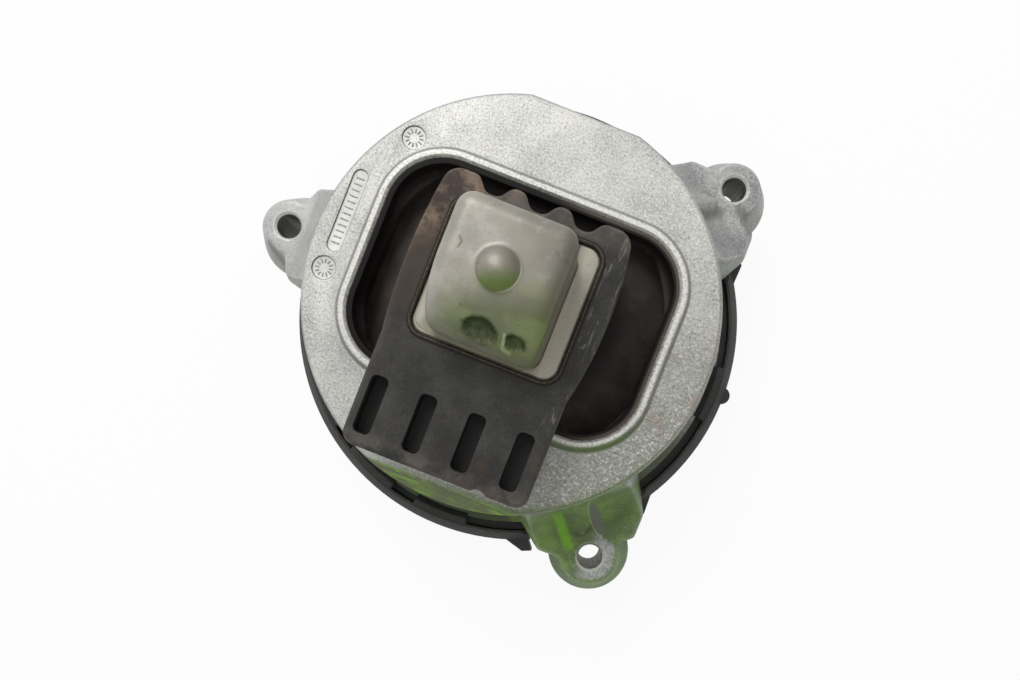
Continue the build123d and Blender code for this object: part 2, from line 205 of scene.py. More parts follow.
class Finish:
    """A material under construction: one Principled shader and the coat painted so far."""

    def __init__(self, name, **fixed):
        self.material = bpy.data.materials.new(name)
        self.material.use_nodes = True
        self.tree = self.material.node_tree
        self.tree.nodes.clear()
        self.shader = self.tree.nodes.new("ShaderNodeBsdfPrincipled")
        self.output = self.tree.nodes.new("ShaderNodeOutputMaterial")
        self.tree.links.new(self.shader.outputs[0], self.output.inputs["Surface"])
        self.set(**fixed)

    def feed(self, socket, value):
        if isinstance(value, Wire):
            self.tree.links.new(value.socket, socket)
        else:
            socket.default_value = value

    def set(self, **values):
        for name, value in values.items():
            self.feed(self.shader.inputs[name.replace("_", " ")], value)

    def node(self, kind, settings=None, sockets=None, output=0):
        made = self.tree.nodes.new("ShaderNode" + kind)
        for name, value in (settings or {}).items():
            setattr(made, name, value)
        for name, value in (sockets or {}).items():
            self.feed(made.inputs[name], value)
        return Wire(self, made.outputs[output])

    def place(self):
        return self.node("TexCoord", output="Object")

    def axes(self):
        """The shaded point's place in millimetres, a wire for each axis."""
        place = self.place()
        parts = [self.node("SeparateXYZ", sockets={0: place}, output=axis) for axis in "XYZ"]
        return [part * (1 / millimetre) for part in parts]

    def grain(self, size, detail=2.0, rough=0.5, stretch=(1.0, 1.0, 1.0), turn=0.0, twist=0.0):
        """Noise from 0 to 1, with grains about size millimetres across."""
        place = self.node("Mapping", {"vector_type": "POINT"}, {
            "Vector": self.place(), "Rotation": (0.0, 0.0, turn), "Scale": stretch
        })
        return self.node("TexNoise", sockets={
            "Vector": place, "Scale": 1 / (size * millimetre), "Detail": detail, "Roughness": rough,
            "Distortion": twist,
        })

    def mix(self, first, second, share):
        """Colour between two others, each a wire or the 0 to 255 values of a picture."""
        first, second = [each if isinstance(each, Wire) else tone(*each) for each in (first, second)]
        return self.node("Mix", {"data_type": "RGBA"}, {0: share, 6: first, 7: second}, output=2)

    def ground(self, first, second, share):
        self.coat = self.mix(first, second, share)

    def paint(self, colour, share):
        """Lays a colour over the coat so far."""
        self.coat = self.mix(self.coat, colour, share)

    def done(self, roughness, height, depth, strength):
        """The material with its coat and a relief that is depth millimetres high."""
        relief = self.node("Bump", sockets={
            "Strength": strength, "Distance": depth * millimetre, "Height": height
        })
        self.set(Base_Color=self.coat, Roughness=roughness, Normal=relief)
        return self.material


def tone(red, green, blue):
    """Colour for a shader from the 0 to 255 values of a picture."""
    parts = []
    for value in (red, green, blue):
        share = value / 255
        parts.append(share / 12.92 if share <= 0.04045 else ((share + 0.055) / 1.055) ** 2.4)
    return (*parts, 1.0)


print("a mid grey of 128 is", round(tone(128, 128, 128)[0], 3), "in a shader")

# %% [markdown]
# ## Distances
#
# Many marks follow an outline, such as the crest of the window's bead, worn and with a painted highlight, and
# the painted shade beside it. A shader can work out how far a point lies from a spot, a line or a rectangle
# with round corners, and a mark is a narrow band of that distance. All are in millimetres, in plan, and
# negative inside an outline.

# %% Distances as wires
def length_of(first, second):
    return (first * first + second * second).root()


def plan_distance(x, y, spot=(0.0, 0.0)):
    return length_of(x - spot[0], y - spot[1])


def along(x, y, way):
    return way[0] * x + way[1] * y


def path_distance(x, y, points):
    strokes = []
    for start, end in zip(points, points[1:]):
        way = Vector(end) - Vector(start)
        from_x = x - start[0]
        from_y = y - start[1]
        share = (along(from_x, from_y, way) * (1 / way.length_squared)).above(0).below(1)
        strokes.append(length_of(from_x - share * way.x, from_y - share * way.y))
    return reduce(Wire.below, strokes)


def outline_distance(x, y, half_length, half_width, corner):
    past_x = abs(x) - (half_length - corner)
    past_y = abs(y) - (half_width - corner)
    return length_of(past_x.above(0), past_y.above(0)) + past_x.above(past_y).below(0) - corner


def window_distance(x, y):
    middle = (window_back - window_front) / 2
    half_width = (window_back + window_front) / 2
    return outline_distance(x, y - middle, window_half_length, half_width, window_corner)


def pad_distance(x, y):
    long_edge = outline_distance(x - long_pad[0], y - long_pad[1], *long_pad_half, long_pad_half[0])
    round_rims = [plan_distance(x, y, place) - round_pad_radius for place in round_pads]
    return reduce(Wire.below, round_rims, long_edge)


def band(distance, start, end, blur):
    """Mask that is 1 between two distances."""
    return distance.rise(start - blur, start + blur) * distance.rise(end + blur, end - blur)


# %% [markdown]
# ## Directions of the photograph
#
# In the photograph everything that faces the picture's lower side shows green, most of all the ear there.
# It is a painted reflection of a green ground below, laid over the metal: the mask compares the way that the
# surface faces with one fixed direction of the part, so it stays put when the camera moves. Stains, painted
# shade and painted light use that direction too, and the one to the picture's right, as millimetres below and
# beside the part's axis. A site, called at in what follows, is a finish with those measures, and takes on the
# noises and zones that its marks share.

# %% The site of a shaded point
class Site(Finish):
    """A finish that knows where its shaded point lies, in millimetres."""

    def __init__(self, name, **fixed):
        super().__init__(name, **fixed)
        self.x, self.y, self.z = self.axes()
        self.below = along(self.x, self.y, front_way)
        self.beside = along(self.x, self.y, right_way)
        self.off_axis = plan_distance(self.x, self.y)

    def compare(self, operation, first, second):
        return self.node("VectorMath", {"operation": operation}, {0: first, 1: second}, "Value")

    def facing(self, way):
        """How far the surface faces a direction, from -1 to 1."""
        return self.compare("DOT_PRODUCT", self.node("TexCoord", output="Normal"), way)

    def ball_distance(self, middle):
        return self.compare("DISTANCE", self.place(), Vector(middle) * millimetre) * (1 / millimetre)


# %% [markdown]
# ## Cast aluminium
#
# The upper housing is die cast and shot blasted. Close up, its face is a field of tiny bright nicks and dark
# pits on light grey. A wide noise gives the clouds, finer ones the grain, the pits, the nicks and the coarse
# speckle of the side that gets painted shade. The marks are then painted coat by coat, from the metal to the
# holes, with painted light, painted shade and green painted reflections among them.

# %% Blasted metal, painted light and shade, and rust
def paint_metal_light_and_shade(at):
    """Grey grain with painted light on the left ear, and painted shade and coarser speckle towards the
    picture's lower right.
    """
    grey = at.mix((148, 148, 145), (206, 205, 200), (0.7 * at.fine + 0.3 * at.cloud).rise(0.32, 0.62))
    smooth = (0.65 * at.fine + 0.35 * at.cloud).rise(0.34, 0.64)
    at.ground((118, 119, 119), (178, 178, 176), smooth)
    # Painted light: the left ear is lighter.
    at.paint((196, 195, 193), at.beside.rise(-58.0, -74.0) * (0.25 + 0.35 * at.cloud))
    at.paint(grey, at.on_face)
    # Painted shade: the face darkens towards the picture's lower right, where the pits and coarse speckle also
    # gather.
    lower_right_shade = (at.below + 0.55 * at.beside).rise(12.0, 78.0)
    at.paint((96, 95, 92), at.pits * (0.3 + at.on_face * (0.12 + 0.4 * lower_right_shade)))
    at.paint((240, 239, 235), at.nicks * (0.15 + 0.55 * at.on_face))
    at.paint((102, 102, 90), lower_right_shade * (0.44 + 0.3 * at.cloud) * at.on_face)
    rough_zone = lower_right_shade.above(at.beside.rise(20.0, 55.0) * 0.7) * at.on_face
    at.paint((234, 234, 229), at.chunks.rise(0.52, 0.66) * rough_zone * 0.75)
    at.paint((70, 72, 64), at.chunks.rise(0.45, 0.32) * rough_zone * 0.6)
    rust = at.grain(9.0, 3.0, 0.6).rise(0.56, 0.68) * at.beside.rise(36.0, 52.0) * at.below.rise(4.0, 30.0)
    at.paint((150, 126, 108), rust * at.on_face * 0.4)
    rim = band(at.off_axis, ring_radius - 1.3, ring_radius - 0.6, 0.3)
    edge_rust = rim * at.beside.rise(24.0, 44.0) * at.below.rise(-50.0, -20.0)
    at.paint((138, 116, 94), edge_rust * at.on_face * 0.55)
    # Green painted reflection along the ring's edge on the picture's lower side.
    edge_green_reflection = at.off_axis.rise(ring_radius - 4.5, ring_radius - 0.4) * at.below.rise(44.0, 64.0)
    at.paint((92, 110, 58), edge_green_reflection * at.on_face * 0.6)


# %% Window and pads
def paint_window(at):
    """The bead's crest, worn and with a painted highlight, painted shade in the groove round it, a green
    painted reflection below it and painted shade on the wall inside, then the pads with painted shade along
    their rims.
    """
    edge = window_distance(at.x, at.y)
    # The bead's crest is worn and also gets a painted highlight.
    crest = band(edge, 0.6, 2.2, 0.35) * at.z.rise(face_height + 0.15, face_height + 0.5)
    at.paint((228, 226, 220), crest * (0.35 + 0.5 * at.fine.rise(0.4, 0.6)))
    # Painted shade in the groove round the bead.
    at.paint((112, 112, 108), band(edge, 2.7, 3.9, 0.4) * at.on_face * 0.75)
    # Green painted reflection beside the bead's lower side.
    at.paint((84, 104, 58), band(edge, 2.0, 4.2, 0.5) * at.below.rise(31.0, 44.0) * 0.75)
    # Painted shade on the window's inner wall.
    at.paint((45, 42, 40), edge.rise(0.4, 0.0) * at.z.rise(face_height + 1.6, face_height - 0.5))
    pad = pad_distance(at.x, at.y)
    at.paint((214, 213, 209), pad.rise(-0.1, -0.5) * at.on_face * 0.6)
    # Painted shade along the pads' rims.
    at.paint((96, 95, 92), band(pad, -0.25, 0.1, 0.15) * at.on_face * 0.7)


# %% Green painted reflection, front ear and front bevel
groove_middle = (6.2, 76.2)
groove_half = (2.1, 7.0)


def paint_green(at):
    """Green painted reflection on what faces the picture's lower side and over the front ear but for its boss,
    with painted highlights and painted shade on the ear.
    """
    # Green painted reflection on what faces the picture's lower side.
    faces_front = at.facing(front_way)
    zone = at.below.rise(38.0, 62.0).above(0.35 * faces_front.rise(0.3, 0.7))
    share = faces_front.rise(0.05, 0.55) * (0.45 + 0.3 * at.cloud) * zone
    depth = (0.6 * at.grain(11.0, 2.0) + 0.4 * at.fine).rise(0.4, 0.64)
    green = at.mix((74, 94, 46), (104, 134, 60), depth)
    at.paint(green, share.below(0.85))
    on_ear = at.on_green_ear
    ragged = at.mottle - 0.5
    off_boss = plan_distance(at.x, at.y, green_ear)
    past_boss = at.beside - along(*green_ear.xy, right_way)
    under_boss = at.below - along(*green_ear.xy, front_way)
    boss_side = (past_boss + 0.6 * under_boss + 6.0 * ragged).rise(-6.0, 3.0)
    boss_face = (off_boss + 5.0 * ragged).rise(9.4, 7.6) * at.z.rise(boss_top - 2.6, boss_top - 0.6) * boss_side
    # Green painted reflection over the front ear, but for its boss.
    at.paint(green, on_ear * (0.9 - 0.78 * boss_face))
    groove_across = (at.ear_across - groove_middle[0]) * (1 / groove_half[0])
    groove_along = (at.ear_along - groove_middle[1]) * (1 / groove_half[1])
    oval = length_of(groove_across, groove_along)
    # Painted highlight on one side of the groove's rim, and painted shade inside the groove.
    lit_edge = band(oval, 1.0, 1.16, 0.08) * groove_across.rise(0.3, -0.3)
    at.paint((150, 158, 132), lit_edge * on_ear * 0.6)
    at.paint((98, 98, 95), oval.rise(1.05, 0.75) * on_ear * 0.85)
    # Painted highlight, bright green, in the groove on the ear's left.
    lit_groove = band(at.ear_across + 1.4 * ragged, -7.9, -4.5, 0.9) * band(at.ear_along, 70.0, 84.5, 2.0)
    at.paint((110, 164, 36), lit_groove * on_ear * (0.45 + 0.6 * at.fine))
    # Painted shade, dark green, on the ear's lower parts.
    at.paint((58, 84, 24), at.z.rise(37.0, 31.0) * on_ear * 0.55)
    # Bright green painted reflection on the boss's lower flank.
    lower_flank = band(off_boss, 7.8, 12.0, 1.6) * under_boss.rise(-3.0, 5.0) * past_boss.rise(2.0, -5.0)
    at.paint((108, 146, 46), lower_flank * on_ear * at.mottle.rise(0.42, 0.6) * 0.75)


def paint_front(at):
    """A green painted reflection streaked over the bevel before the face, painted shade on its lower part and
    on the flange's side.
    """
    # Green painted reflection, streaked, on the bevel before the face.
    bevel = (-1 * at.y).rise(62.1, 62.9) * at.z.rise(face_height - 0.1, face_height - 0.7)
    bevel = bevel * (1 - at.on_green_ear)
    streak = at.grain(3.2, 4.0, 0.75, stretch=(0.14, 1.0, 1.0), twist=0.4)
    green = at.mix((98, 104, 74), (124, 164, 54), streak.rise(0.42, 0.58))
    at.paint(green, bevel * (0.85 - 0.5 * at.chunks.rise(0.54, 0.66)))
    # Painted shade on the bevel's lower part.
    at.paint((50, 54, 38), bevel * at.z.rise(47.0, 39.0) * 0.75)
    # Painted shade, dark green, on the flange's side towards the picture's lower side.
    side = at.off_axis.rise(ring_radius + 0.2, ring_radius + 1.0) * abs(at.ear_across).rise(22.0, 25.0)
    low = at.z.rise(flange_top + 1.6, flange_top + 0.4) * at.below.rise(26.0, 50.0)
    at.paint((62, 70, 46), side * low * 0.88)


# %% Painted highlights and shade on the ears' ridges, hollows and holes
def paint_ears(at):
    """Painted highlights on ridges, painted shade in hollows and in the bolt holes, and painted highlights
    round the holes' mouths.
    """
    bend = at.node("NewGeometry", output="Pointiness")
    # Painted highlight along the ears' ridges.
    ridge = bend.rise(0.508, 0.54) * at.on_ear * at.z.rise(flange_top + 0.7, flange_top + 1.7)
    at.paint((226, 226, 218), ridge * (0.45 - 0.32 * at.on_green_ear))
    # Painted shade in the ears' valleys.
    at.paint((70, 72, 68), bend.rise(0.494, 0.46) * at.on_ear * 0.55)
    # Painted shade in strokes along the ears' hollows.
    for path, reach in ear_shade_strokes:
        shade_stroke = (path_distance(at.x, at.y, path) + 2.0 * (at.cloud - 0.5)).rise(reach, 0.4)
        at.paint((92, 92, 86), shade_stroke * at.on_ear * 0.6)
    # Painted shade inside each bolt hole.
    for place in ear_places:
        hole = plan_distance(at.x, at.y, place)
        at.paint((62, 57, 52), hole.rise(hole_radius + 0.25, hole_radius + 0.05) * 0.9)
        # Painted highlight on each hole's chamfer, stronger towards the picture's lower side.
        mouth = band(hole, hole_radius + 0.3, hole_radius + 0.9, 0.2) * (
            0.1 + 0.5 * (at.below - along(*place.xy, front_way)).rise(-2.5, 3.5))
        at.paint((226, 225, 220), mouth * at.z.rise(boss_top - 1.2, boss_top - 0.9))


# %% Cast aluminium of the upper housing
def make_cast_aluminium():
    at = Site("cast_aluminium", Metallic=0.3, IOR=1.5, Specular_IOR_Level=0.3)
    at.cloud = at.grain(14.0, 3.0, 0.6)
    at.fine = at.grain(0.8, 3.0, 0.75)
    at.pits = at.grain(0.55, 2.0, 0.8, twist=0.6).rise(0.60, 0.70)
    at.nicks = at.grain(0.6, 2.0, 0.7, twist=0.8).rise(0.58, 0.70)
    at.chunks = at.grain(0.85, 4.0, 0.75, twist=0.1)
    at.mottle = at.grain(4.5, 3.0, 0.7, twist=0.6)
    at.on_face = at.z.rise(face_height - 1.0, face_height - 0.4)
    at.on_ear = at.off_axis.rise(ring_radius + 0.4, ring_radius + 1.6)
    at.ear_along = along(at.x, at.y, front_ear_way)
    at.ear_across = along(at.x, at.y, front_ear_side)
    at.on_green_ear = at.ear_along.rise(66.0, 69.5) * at.z.rise(face_height - 0.6, face_height - 1.6)
    for paint in (paint_metal_light_and_shade, paint_window, paint_green, paint_front, paint_ears):
        paint(at)
    return at.done(0.36 + 0.24 * at.fine, at.fine + 0.8 * at.pits - 0.7 * at.nicks, 0.12, 0.6)


cast_aluminium = make_cast_aluminium()
print("nodes in the cast finish:", len(cast_aluminium.node_tree.nodes))

# %% [markdown]
# ## The core's metal
#
# The core is cast too, but its dome is rubbed smooth by handling and stained, so it is warmer, with soft
# clouds, a brownish wash and only a few dark chips. The ragged dents in its front get painted shade and a
# dark green painted reflection inside.

# %% Rubbed metal of the dome and its plate, with painted shade
def paint_rubbed_metal_and_shade(at):
    """Warm clouds with painted shade that darkens them to the right, and a speckled plate."""
    at.ground((150, 147, 139), (172, 168, 159), at.cloud.rise(0.35, 0.65))
    # Painted shade: the dome darkens towards the right.
    at.paint((96, 92, 80), at.beside.rise(-14.0, 20.0) * 0.66)
    at.paint((120, 118, 110), at.fine.rise(0.5, 0.7) * 0.3)
    wash = at.grain(5.5, 5.0, 0.7)
    at.paint((146, 138, 116), wash.rise(0.44, 0.62) * 0.22)
    at.paint((186, 179, 173), wash.rise(0.48, 0.34) * 0.2)
    at.paint((172, 167, 152), at.on_plate * 0.8)
    at.paint((112, 106, 92), at.on_plate * at.fine.rise(0.56, 0.7) * 0.5)
    # Painted shade on the dome's right flank, deeper near its foot.
    side = at.facing(right_way).rise(0.1, 0.75) * at.on_dome
    at.paint((90, 86, 74), side * 0.75)
    at.paint((66, 60, 50), side * at.z.rise(plate_top + 12.0, plate_top + 2.0) * 0.6)


def paint_foot(at):
    """Painted shade along the dome's right foot, and painted light on the run-out at its left."""
    # Painted shade on the plate beside the dome's right foot, and a darker painted line in the crease.
    at.paint((96, 90, 76), at.x.rise(18.5, 15.0) * at.x.rise(13.0, 14.5) * at.on_plate * 0.5)
    line = band(at.x, 14.6, 15.5, 0.45) * at.z.rise(plate_top + 3.0, plate_top + 0.6) * at.y.rise(-19.6, -17.5)
    at.paint((52, 47, 40), line * 0.85)
    # Painted light on the run-out at the dome's left foot.
    skirt = at.z.rise(plate_top + 9.0, plate_top + 2.0) * at.x.rise(8.0, -6.0)
    at.paint((206, 202, 184), skirt * at.on_dome * 0.85)


# %% Green painted reflection, nub, dents and scratches of the dome
def paint_core_green(at):
    """A green painted reflection as a patch on the top and on the front, a green stain, and the pale foot
    below.
    """
    # Green painted reflection: a patch on the top and where the dome faces the picture's lower side, with a
    # green stain towards the back.
    patch = (at.below + 8.0 * (at.cloud - 0.5)).rise(-1.0, 12.0) * at.beside.rise(21.0, 9.0)
    patch = patch * at.z.rise(90.0, 99.0) * at.x.rise(-15.0, -3.0)
    front_reflection = at.facing(front_way).rise(0.2, 0.85) * at.beside.rise(17.0, 7.0)
    stain = at.grain(7.0, 3.0, 0.6).rise(0.54, 0.7) * at.below.rise(-2.0, -16.0)
    share = patch * 0.62 + front_reflection * 0.4 + stain * 0.25
    green = at.mix((82, 94, 46), (104, 122, 54), at.cloud.rise(0.4, 0.6))
    at.paint(green, share.below(0.7) * at.on_dome)
    skirt = at.z.rise(plate_top + 5.0, plate_top + 2.5) * (-1 * at.y).rise(17.5, 19.0)
    at.paint((170, 166, 142), skirt * at.on_dome * 0.65)


def paint_nub(at):
    """Painted shade on the nub's top, a green painted reflection on its lower half, a painted highlight near
    its middle and a thin painted highlight on the ring at its foot.
    """
    nub = at.off_axis.rise(nub_radius + 0.2, nub_radius - 0.6) * at.z.rise(dome_top + 0.05, dome_top + 0.4)
    # Painted shade on the nub's top.
    at.paint((112, 105, 94), nub * 0.45)
    # Green painted reflection on the nub's lower half.
    at.paint((86, 110, 38), nub * (at.below + 3.0 * (at.fine - 0.5)).rise(-1.2, 4.4) * 0.85)
    # Painted highlight near the nub's middle, on its upper side.
    at.paint((186, 172, 156), at.off_axis.rise(2.4, 0.2) * nub * at.below.rise(2.0, 0.0) * 0.3)
    # Painted highlight on the ring at the nub's foot, on its lower right.
    ring = band(at.off_axis, nub_radius - 0.05, nub_radius + 0.14, 0.13) * at.z.rise(dome_top - 1.0, dome_top)
    at.paint((206, 204, 172), ring * (at.below + 0.4 * at.x).rise(-1.0, 3.5) * 0.6)


def scoop_ball(place, radius, depth):
    """Middle and radius of the ball that dents the dome's front."""
    ball = (radius ** 2 + depth ** 2) / (2 * depth)
    reach = dome_front_radius - depth + ball
    forward = reach * sin(scoop_slope) - dome_front_radius + dome_front
    height = reach * cos(scoop_slope) - dome_front_radius + dome_top
    return (place, -forward, height), ball


def paint_dents(at):
    """Ragged dents with painted shade and a dark green painted reflection inside, lighter below, then chips and
    two scratches.
    """
    for place, radius, depth in scoops:
        middle, ball = scoop_ball(place, radius, depth)
        ragged = at.grain(2.6, 3.0, 0.6) - 0.5
        # Painted shade and a dark green painted reflection inside each dent, lighter below.
        inside = (at.ball_distance(middle) + 2.4 * ragged).rise(ball + 1.3, ball - 0.2)
        lit = (at.below - along(middle[0], middle[1], front_way) + 3.0 * ragged).rise(-3.2, 2.6)
        at.paint(at.mix((34, 56, 6), (70, 74, 28), lit), inside * 0.94)
    at.paint((84, 80, 72), at.chips * 0.5)
    hook = path_distance(at.x, at.y, hook_scratch) + 0.7 * (at.fine - 0.5)
    at.paint((84, 76, 64), hook.rise(0.5, 0.05) * at.z.rise(dome_top - 1.0, dome_top - 0.4) * 0.6)
    chip = path_distance(at.x, at.y, foot_chip) + 0.5 * (at.fine - 0.5)
    at.paint((176, 180, 140), chip.rise(0.6, 0.2) * at.z.rise(plate_top + 4.0, plate_top + 6.0) * 0.75)


# %% Cast aluminium of the core
def make_core_aluminium():
    at = Site("core_aluminium", Metallic=0.25, IOR=1.5, Specular_IOR_Level=0.3)
    at.cloud = at.grain(13.0, 3.0, 0.5)
    at.fine = at.grain(1.0, 3.0, 0.7)
    at.chips = at.grain(2.4, 2.0, 0.5, twist=0.8).rise(0.70, 0.76)
    at.on_plate = at.z.rise(plate_top + 0.4, plate_top + 0.1)
    at.on_dome = 1 - at.on_plate
    for paint in (paint_rubbed_metal_and_shade, paint_foot, paint_core_green, paint_nub, paint_dents):
        paint(at)
    return at.done(0.32 + 0.2 * at.fine, at.fine - 0.8 * at.chips, 0.06, 0.4)


core_aluminium = make_core_aluminium()
print("nodes in the core finish:", len(core_aluminium.node_tree.nodes))

# %% [markdown]
# ## Rubber
#
# The stop buffer is black rubber that has gone grey-brown with road dust. It is matt, with fine scratches,
# a dusty lighter front edge, a brown stain and a mottled brown corner at the back. The spring is almost black
# deep in the window, and its lining is lighter along the window's edge towards the right.

# %% Rubber of the stop buffer and the spring
def make_buffer_rubber():
    finish = Finish("buffer_rubber", IOR=1.45, Specular_IOR_Level=0.25)
    x, y, z = finish.axes()
    forward = -1 * y
    cloud = finish.grain(11.0, 4.0, 0.65)
    fine = finish.grain(0.8, 3.0, 0.7)
    mottle = finish.grain(5.5, 5.0, 0.75)
    scratches = finish.grain(1.0, 2.0, 0.6, stretch=(1.0, 0.06, 1.0), turn=0.5, twist=0.2).rise(0.62, 0.72)
    finish.ground((44, 43, 41), (66, 65, 62), (0.6 * cloud + 0.4 * fine).rise(0.35, 0.65))
    finish.paint((112, 110, 105), scratches * cloud.rise(0.5, 0.65) * 0.5)
    front_edge = forward.rise(tongue_front - 7.0, tongue_front - 0.5)
    finish.paint((96, 90, 84), front_edge * cloud.rise(0.38, 0.6) * 0.7)
    stain = finish.grain(16.0, 2.0).rise(0.52, 0.66) * forward.rise(38.0, 52.0) * x.rise(-4.0, 8.0)
    finish.paint((86, 62, 50), stain * 0.5)
    finish.paint((66, 56, 48), x.rise(-21.0, -25.0) * y.rise(-22.0, -10.0) * 0.8)
    crown = y.rise(20.5, 24.0)
    finish.paint((98, 92, 86), crown * (0.3 + 0.5 * cloud.rise(0.4, 0.6)))
    brown = finish.mix((56, 46, 40), (128, 110, 94), mottle.rise(0.38, 0.66))
    corner = (y - x).rise(28.0, 42.0) * z.rise(plate_top - 12.0, plate_top - 6.0)
    finish.paint(brown, corner * 0.85)
    streaks = finish.grain(1.7, 3.0, 0.7, stretch=(1.0, 0.16, 1.0), twist=0.7).rise(0.55, 0.68)
    scuffs = (streaks * 0.7).above(mottle.rise(0.62, 0.72) * 0.5)
    finish.paint((118, 116, 110), scuffs * x.rise(21.0, 26.0) * forward.rise(40.0, 26.0))
    lip = outline_distance(x, y, plate_half_length, plate_half_width, plate_corner)
    finish.paint((26, 24, 21), band(lip, -0.3, 1.7, 0.25) * 0.85)
    # Painted shade inside the slots.
    inside_slot = z.rise(plate_top - 0.5, plate_top - 1.6) * z.rise(plate_top - 6.5, plate_top - 5.6)
    slot_zone = forward.rise(35.6, 36.4) * forward.rise(54.6, 53.6) * abs(x + 1.6).rise(26.4, 25.4)
    finish.paint((27, 25, 24), inside_slot * slot_zone * 0.9)
    return finish.done(0.5 + 0.25 * fine, fine + 0.6 * cloud - 0.8 * scratches, 0.09, 0.5)


def make_spring_rubber():
    finish = Finish("spring_rubber", IOR=1.45, Specular_IOR_Level=0.12)
    x, y, z = finish.axes()
    cloud = finish.grain(8.0, 3.0)
    fine = finish.grain(0.9, 3.0, 0.7)
    # The lining is lighter along the window's edge towards the right.
    lighter_right_edge = window_distance(x, y).rise(-1.3, -0.6) * along(x, y, right_way).rise(10.0, 30.0)
    lining = finish.mix((28, 26, 25), (112, 103, 94), lighter_right_edge * (0.3 + 0.5 * fine))
    finish.ground((62, 58, 56), (74, 69, 66), cloud.rise(0.35, 0.65))
    finish.paint(lining, z.rise(face_height - 8.0, face_height - 2.0))
    return finish.done(0.5 + 0.2 * fine, fine, 0.06, 0.4)


buffer_rubber = make_buffer_rubber()
spring_rubber = make_spring_rubber()
print("rubbers ready")

# %% [markdown]
# ## Moulded plastic and the inner metals
#
# The lower housing is a glass filled plastic: near black, with a faint sheen and dust on it. The inner plates
# can't be seen from outside, and get plain steel and alloy with a brushed grain.

# %% Plastic and inner metals
def make_black_plastic():
    finish = Finish("black_plastic", IOR=1.5, Specular_IOR_Level=0.3)
    cloud = finish.grain(12.0, 4.0)
    fine = finish.grain(0.7, 3.0, 0.7)
    dust = finish.grain(3.0, 3.0, 0.7).rise(0.55, 0.72)
    finish.ground((34, 34, 33), (52, 52, 50), (0.5 * cloud + 0.5 * fine).rise(0.35, 0.65))
    finish.paint((88, 84, 76), dust * 0.25)
    return finish.done(0.4 + 0.25 * fine, fine, 0.05, 0.5)


def make_plain_finish(name, dark, light, is_brushed=False, **fixed):
    finish = Finish(name, **fixed)
    fine = finish.grain(0.8, 2.0, 0.6, stretch=(0.1, 1.0, 1.0)) if is_brushed else finish.grain(0.6, 2.0, 0.6)
    finish.ground(dark, light, fine if is_brushed else fine.rise(0.35, 0.65))
    return finish.done(0.4 + (0.15 if is_brushed else 0.2) * fine, fine, 0.03, 0.4)


black_plastic = make_black_plastic()
cast_mark = make_plain_finish("cast_mark", (138, 137, 133), (176, 175, 170), Metallic=0.3)
lip_brown = make_plain_finish("lip_brown", (54, 46, 36), (98, 84, 62), Specular_IOR_Level=0.3)
pressed_steel = make_plain_finish("pressed_steel", (110, 112, 115), (150, 152, 155), True, Metallic=0.7)
plate_alloy = make_plain_finish("plate_alloy", (140, 142, 144), (176, 178, 180), True, Metallic=0.7)
print("plastic and inner metals ready")

# %% [markdown]
# ## Solids as starting shapes
#
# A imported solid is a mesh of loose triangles. Before Blender can round or cut it, they are welded and the
# flat ones joined to whole faces. The helpers give such a copy, a turned shape to cut with and a way to
# bake a modifier, so that every piece ends as a plain mesh.

# %% Copies, turned shapes and baked modifiers
@contextmanager
def opened(mesh):
    """The mesh, open for changes that are then written back."""
    shape = bmesh.new()
    shape.from_mesh(mesh)
    yield shape
    shape.to_mesh(mesh)
    shape.free()


def solid_copy(node_name, piece_name):
    """A welded copy of a solid, with its flat triangles joined."""
    mesh = nodes[node_name].data.copy()
    mesh.materials.clear()
    with opened(mesh) as shape:
        bmesh.ops.remove_doubles(shape, verts=shape.verts, dist=weld_distance)
        bmesh.ops.dissolve_limit(
            shape, angle_limit=flat_angle, verts=shape.verts, edges=shape.edges, delimit={"NORMAL"}
        )
    return link_piece(piece_name, mesh)


def turned_shape(name, profile, steps, place=(0.0, 0.0, 0.0)):
    """Closed turned solid from (radius, height) points, first and last on its axis."""
    mesh = bpy.data.meshes.new(name)
    with opened(mesh) as shape:
        rings = []
        for radius, height in profile:
            turns = [2 * pi * step / steps for step in range(steps if radius > 0 else 1)]
            rings.append([shape.verts.new(
                (radius * cos(turn) * millimetre, radius * sin(turn) * millimetre, height * millimetre)
            ) for turn in turns])
        for low, high in zip(rings, rings[1:]):
            for step in range(steps):
                corners = [low[step % len(low)], low[(step + 1) % len(low)],
                           high[(step + 1) % len(high)], high[step % len(high)]]
                shape.faces.new(list(dict.fromkeys(corners)))
        bmesh.ops.recalc_face_normals(shape, faces=shape.faces)
    mesh.transform(Matrix.Translation(place))
    return link_piece(name, mesh)


def bake(piece):
    """The piece's modifiers become part of its mesh."""
    bpy.context.view_layer.update()
    evaluated = piece.evaluated_get(bpy.context.evaluated_depsgraph_get())
    piece.data = bpy.data.meshes.new_from_object(evaluated)
    piece.data.name = piece.name
    piece.modifiers.clear()
    return piece


def combine(piece, tool, operation):
    """Cuts, joins or trims the piece with a tool, which goes."""
    step = piece.modifiers.new("combine", "BOOLEAN")
    step.operation = operation
    step.solver = "EXACT"
    step.object = tool
    bake(piece)
    bpy.data.objects.remove(tool)


# %% [markdown]
# ## Rounded edges
#
# Castings and mouldings have no sharp edge, and a thin highlight along each edge is what makes them look
# real. A Bevel modifier rounds what is still sharp on the copy of a solid, and the copy then stands for it.

# %% Rounded copy of a solid
def round_edges(piece, width, sharp=32.0, steps=3):
    """Rounds every edge that bends by more than the sharp angle."""
    bevel = piece.modifiers.new("rounding", "BEVEL")
    bevel.width = width * millimetre
    bevel.segments = steps
    bevel.limit_method = "ANGLE"
    bevel.angle_limit = radians(sharp)
    bevel.use_clamp_overlap = True
    return bake(piece)


